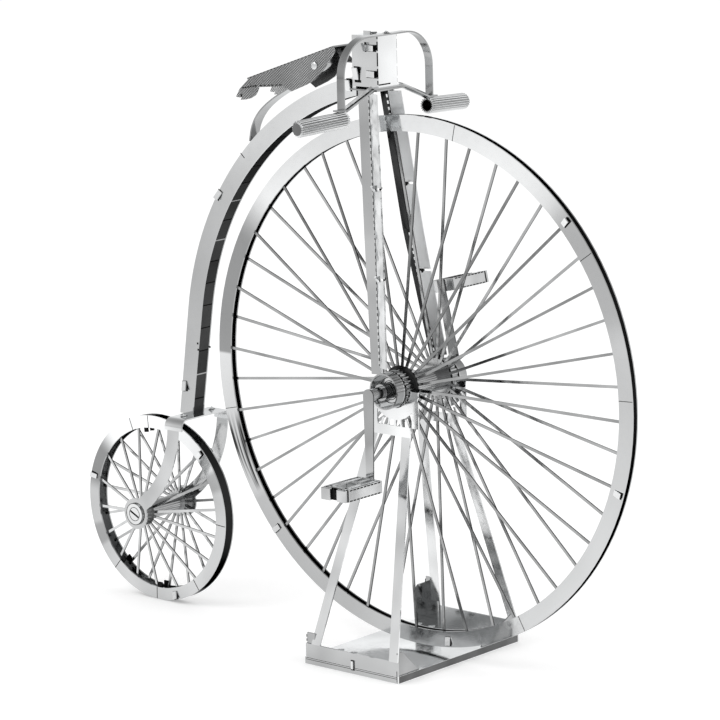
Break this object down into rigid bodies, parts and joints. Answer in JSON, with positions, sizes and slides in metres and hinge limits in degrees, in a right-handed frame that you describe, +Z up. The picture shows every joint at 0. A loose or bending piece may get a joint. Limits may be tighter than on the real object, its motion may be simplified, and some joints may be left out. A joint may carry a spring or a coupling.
{
  "type": "penny farthing desk model",
  "caption": "Small desk model of a penny farthing folded from thin polished steel sheet, held by its large hub in a low splayed stand, with both wheels free to turn.",
  "frame": {"origin": "on the floor, midway between the back of the small wheel and the front of the large wheel, in the middle plane", "axes": "+X forward, from the small wheel to the large one; +Y to the rider's left; +Z up"},
  "size_m": [0.1453, 0.0512, 0.1243],
  "materials": {
    "mirror_steel": "mirror-polished stainless sheet",
    "etched_steel": "stainless sheet with a fine etched cross-hatch",
    "dark_steel": "polished inner face that mirrors the dark wheel channel",
    "grip_steel": "polished sheet rolled into a lightly fluted tube"
  },
  "bodies": {
    "frame": {"backbone_inner_strip": "dark_steel", "backbone_outer_strip": "mirror_steel", "backbone_side_plates": "mirror_steel", "fork_blade_left": "mirror_steel", "fork_blade_right": "mirror_steel", "fork_crown": "mirror_steel", "fork_eye_cups": "mirror_steel", "handlebar_arm_left": "mirror_steel", "handlebar_arm_right": "mirror_steel", "handlebar_brace": "mirror_steel", "handlebar_grip_left": "grip_steel", "handlebar_grip_right": "grip_steel", "head_box": "mirror_steel", "rear_fork_blade_left": "mirror_steel", "rear_fork_blade_right": "mirror_steel", "rear_fork_crown": "mirror_steel", "saddle_leaf_spring": "mirror_steel", "saddle_nose_bracket": "mirror_steel", "saddle_rear_flap": "mirror_steel", "saddle_sides": "etched_steel", "saddle_top": "etched_steel", "stand_base": "mirror_steel", "stand_cradle_left": "mirror_steel", "stand_cradle_right": "mirror_steel", "stand_front_leg_left": "mirror_steel", "stand_front_leg_right": "mirror_steel", "stand_gussets": "mirror_steel", "stand_rear_leg_left": "mirror_steel", "stand_rear_leg_right": "mirror_steel", "stand_wall_left": "mirror_steel", "stand_wall_right": "mirror_steel"},
    "front_wheel": {"crank_left": "mirror_steel", "crank_right": "mirror_steel", "front_axle": "mirror_steel", "front_axle_sleeves": "mirror_steel", "front_hub": "mirror_steel", "front_hub_drums": "mirror_steel", "front_spokes_left": "mirror_steel", "front_spokes_right": "mirror_steel", "front_wheel_rings": "mirror_steel", "front_wheel_tread": "dark_steel", "pedal_left": "mirror_steel", "pedal_right": "mirror_steel"},
    "rear_wheel": {"rear_axle": "mirror_steel", "rear_hub": "mirror_steel", "rear_hub_drums": "mirror_steel", "rear_spokes_left": "mirror_steel", "rear_spokes_right": "mirror_steel", "rear_wheel_rings": "mirror_steel", "rear_wheel_tread": "dark_steel"}
  },
  "joints": [
    {"name": "front_wheel_spin", "type": "hinge", "parent": "frame", "child": "front_wheel", "pos_m": [0.01965, 0, 0.05545], "axis": [0, 1, 0], "continuous": true},
    {"name": "rear_wheel_spin", "type": "hinge", "parent": "frame", "child": "rear_wheel", "pos_m": [-0.05275, 0, 0.0199], "axis": [0, 1, 0], "continuous": true}
  ]
}
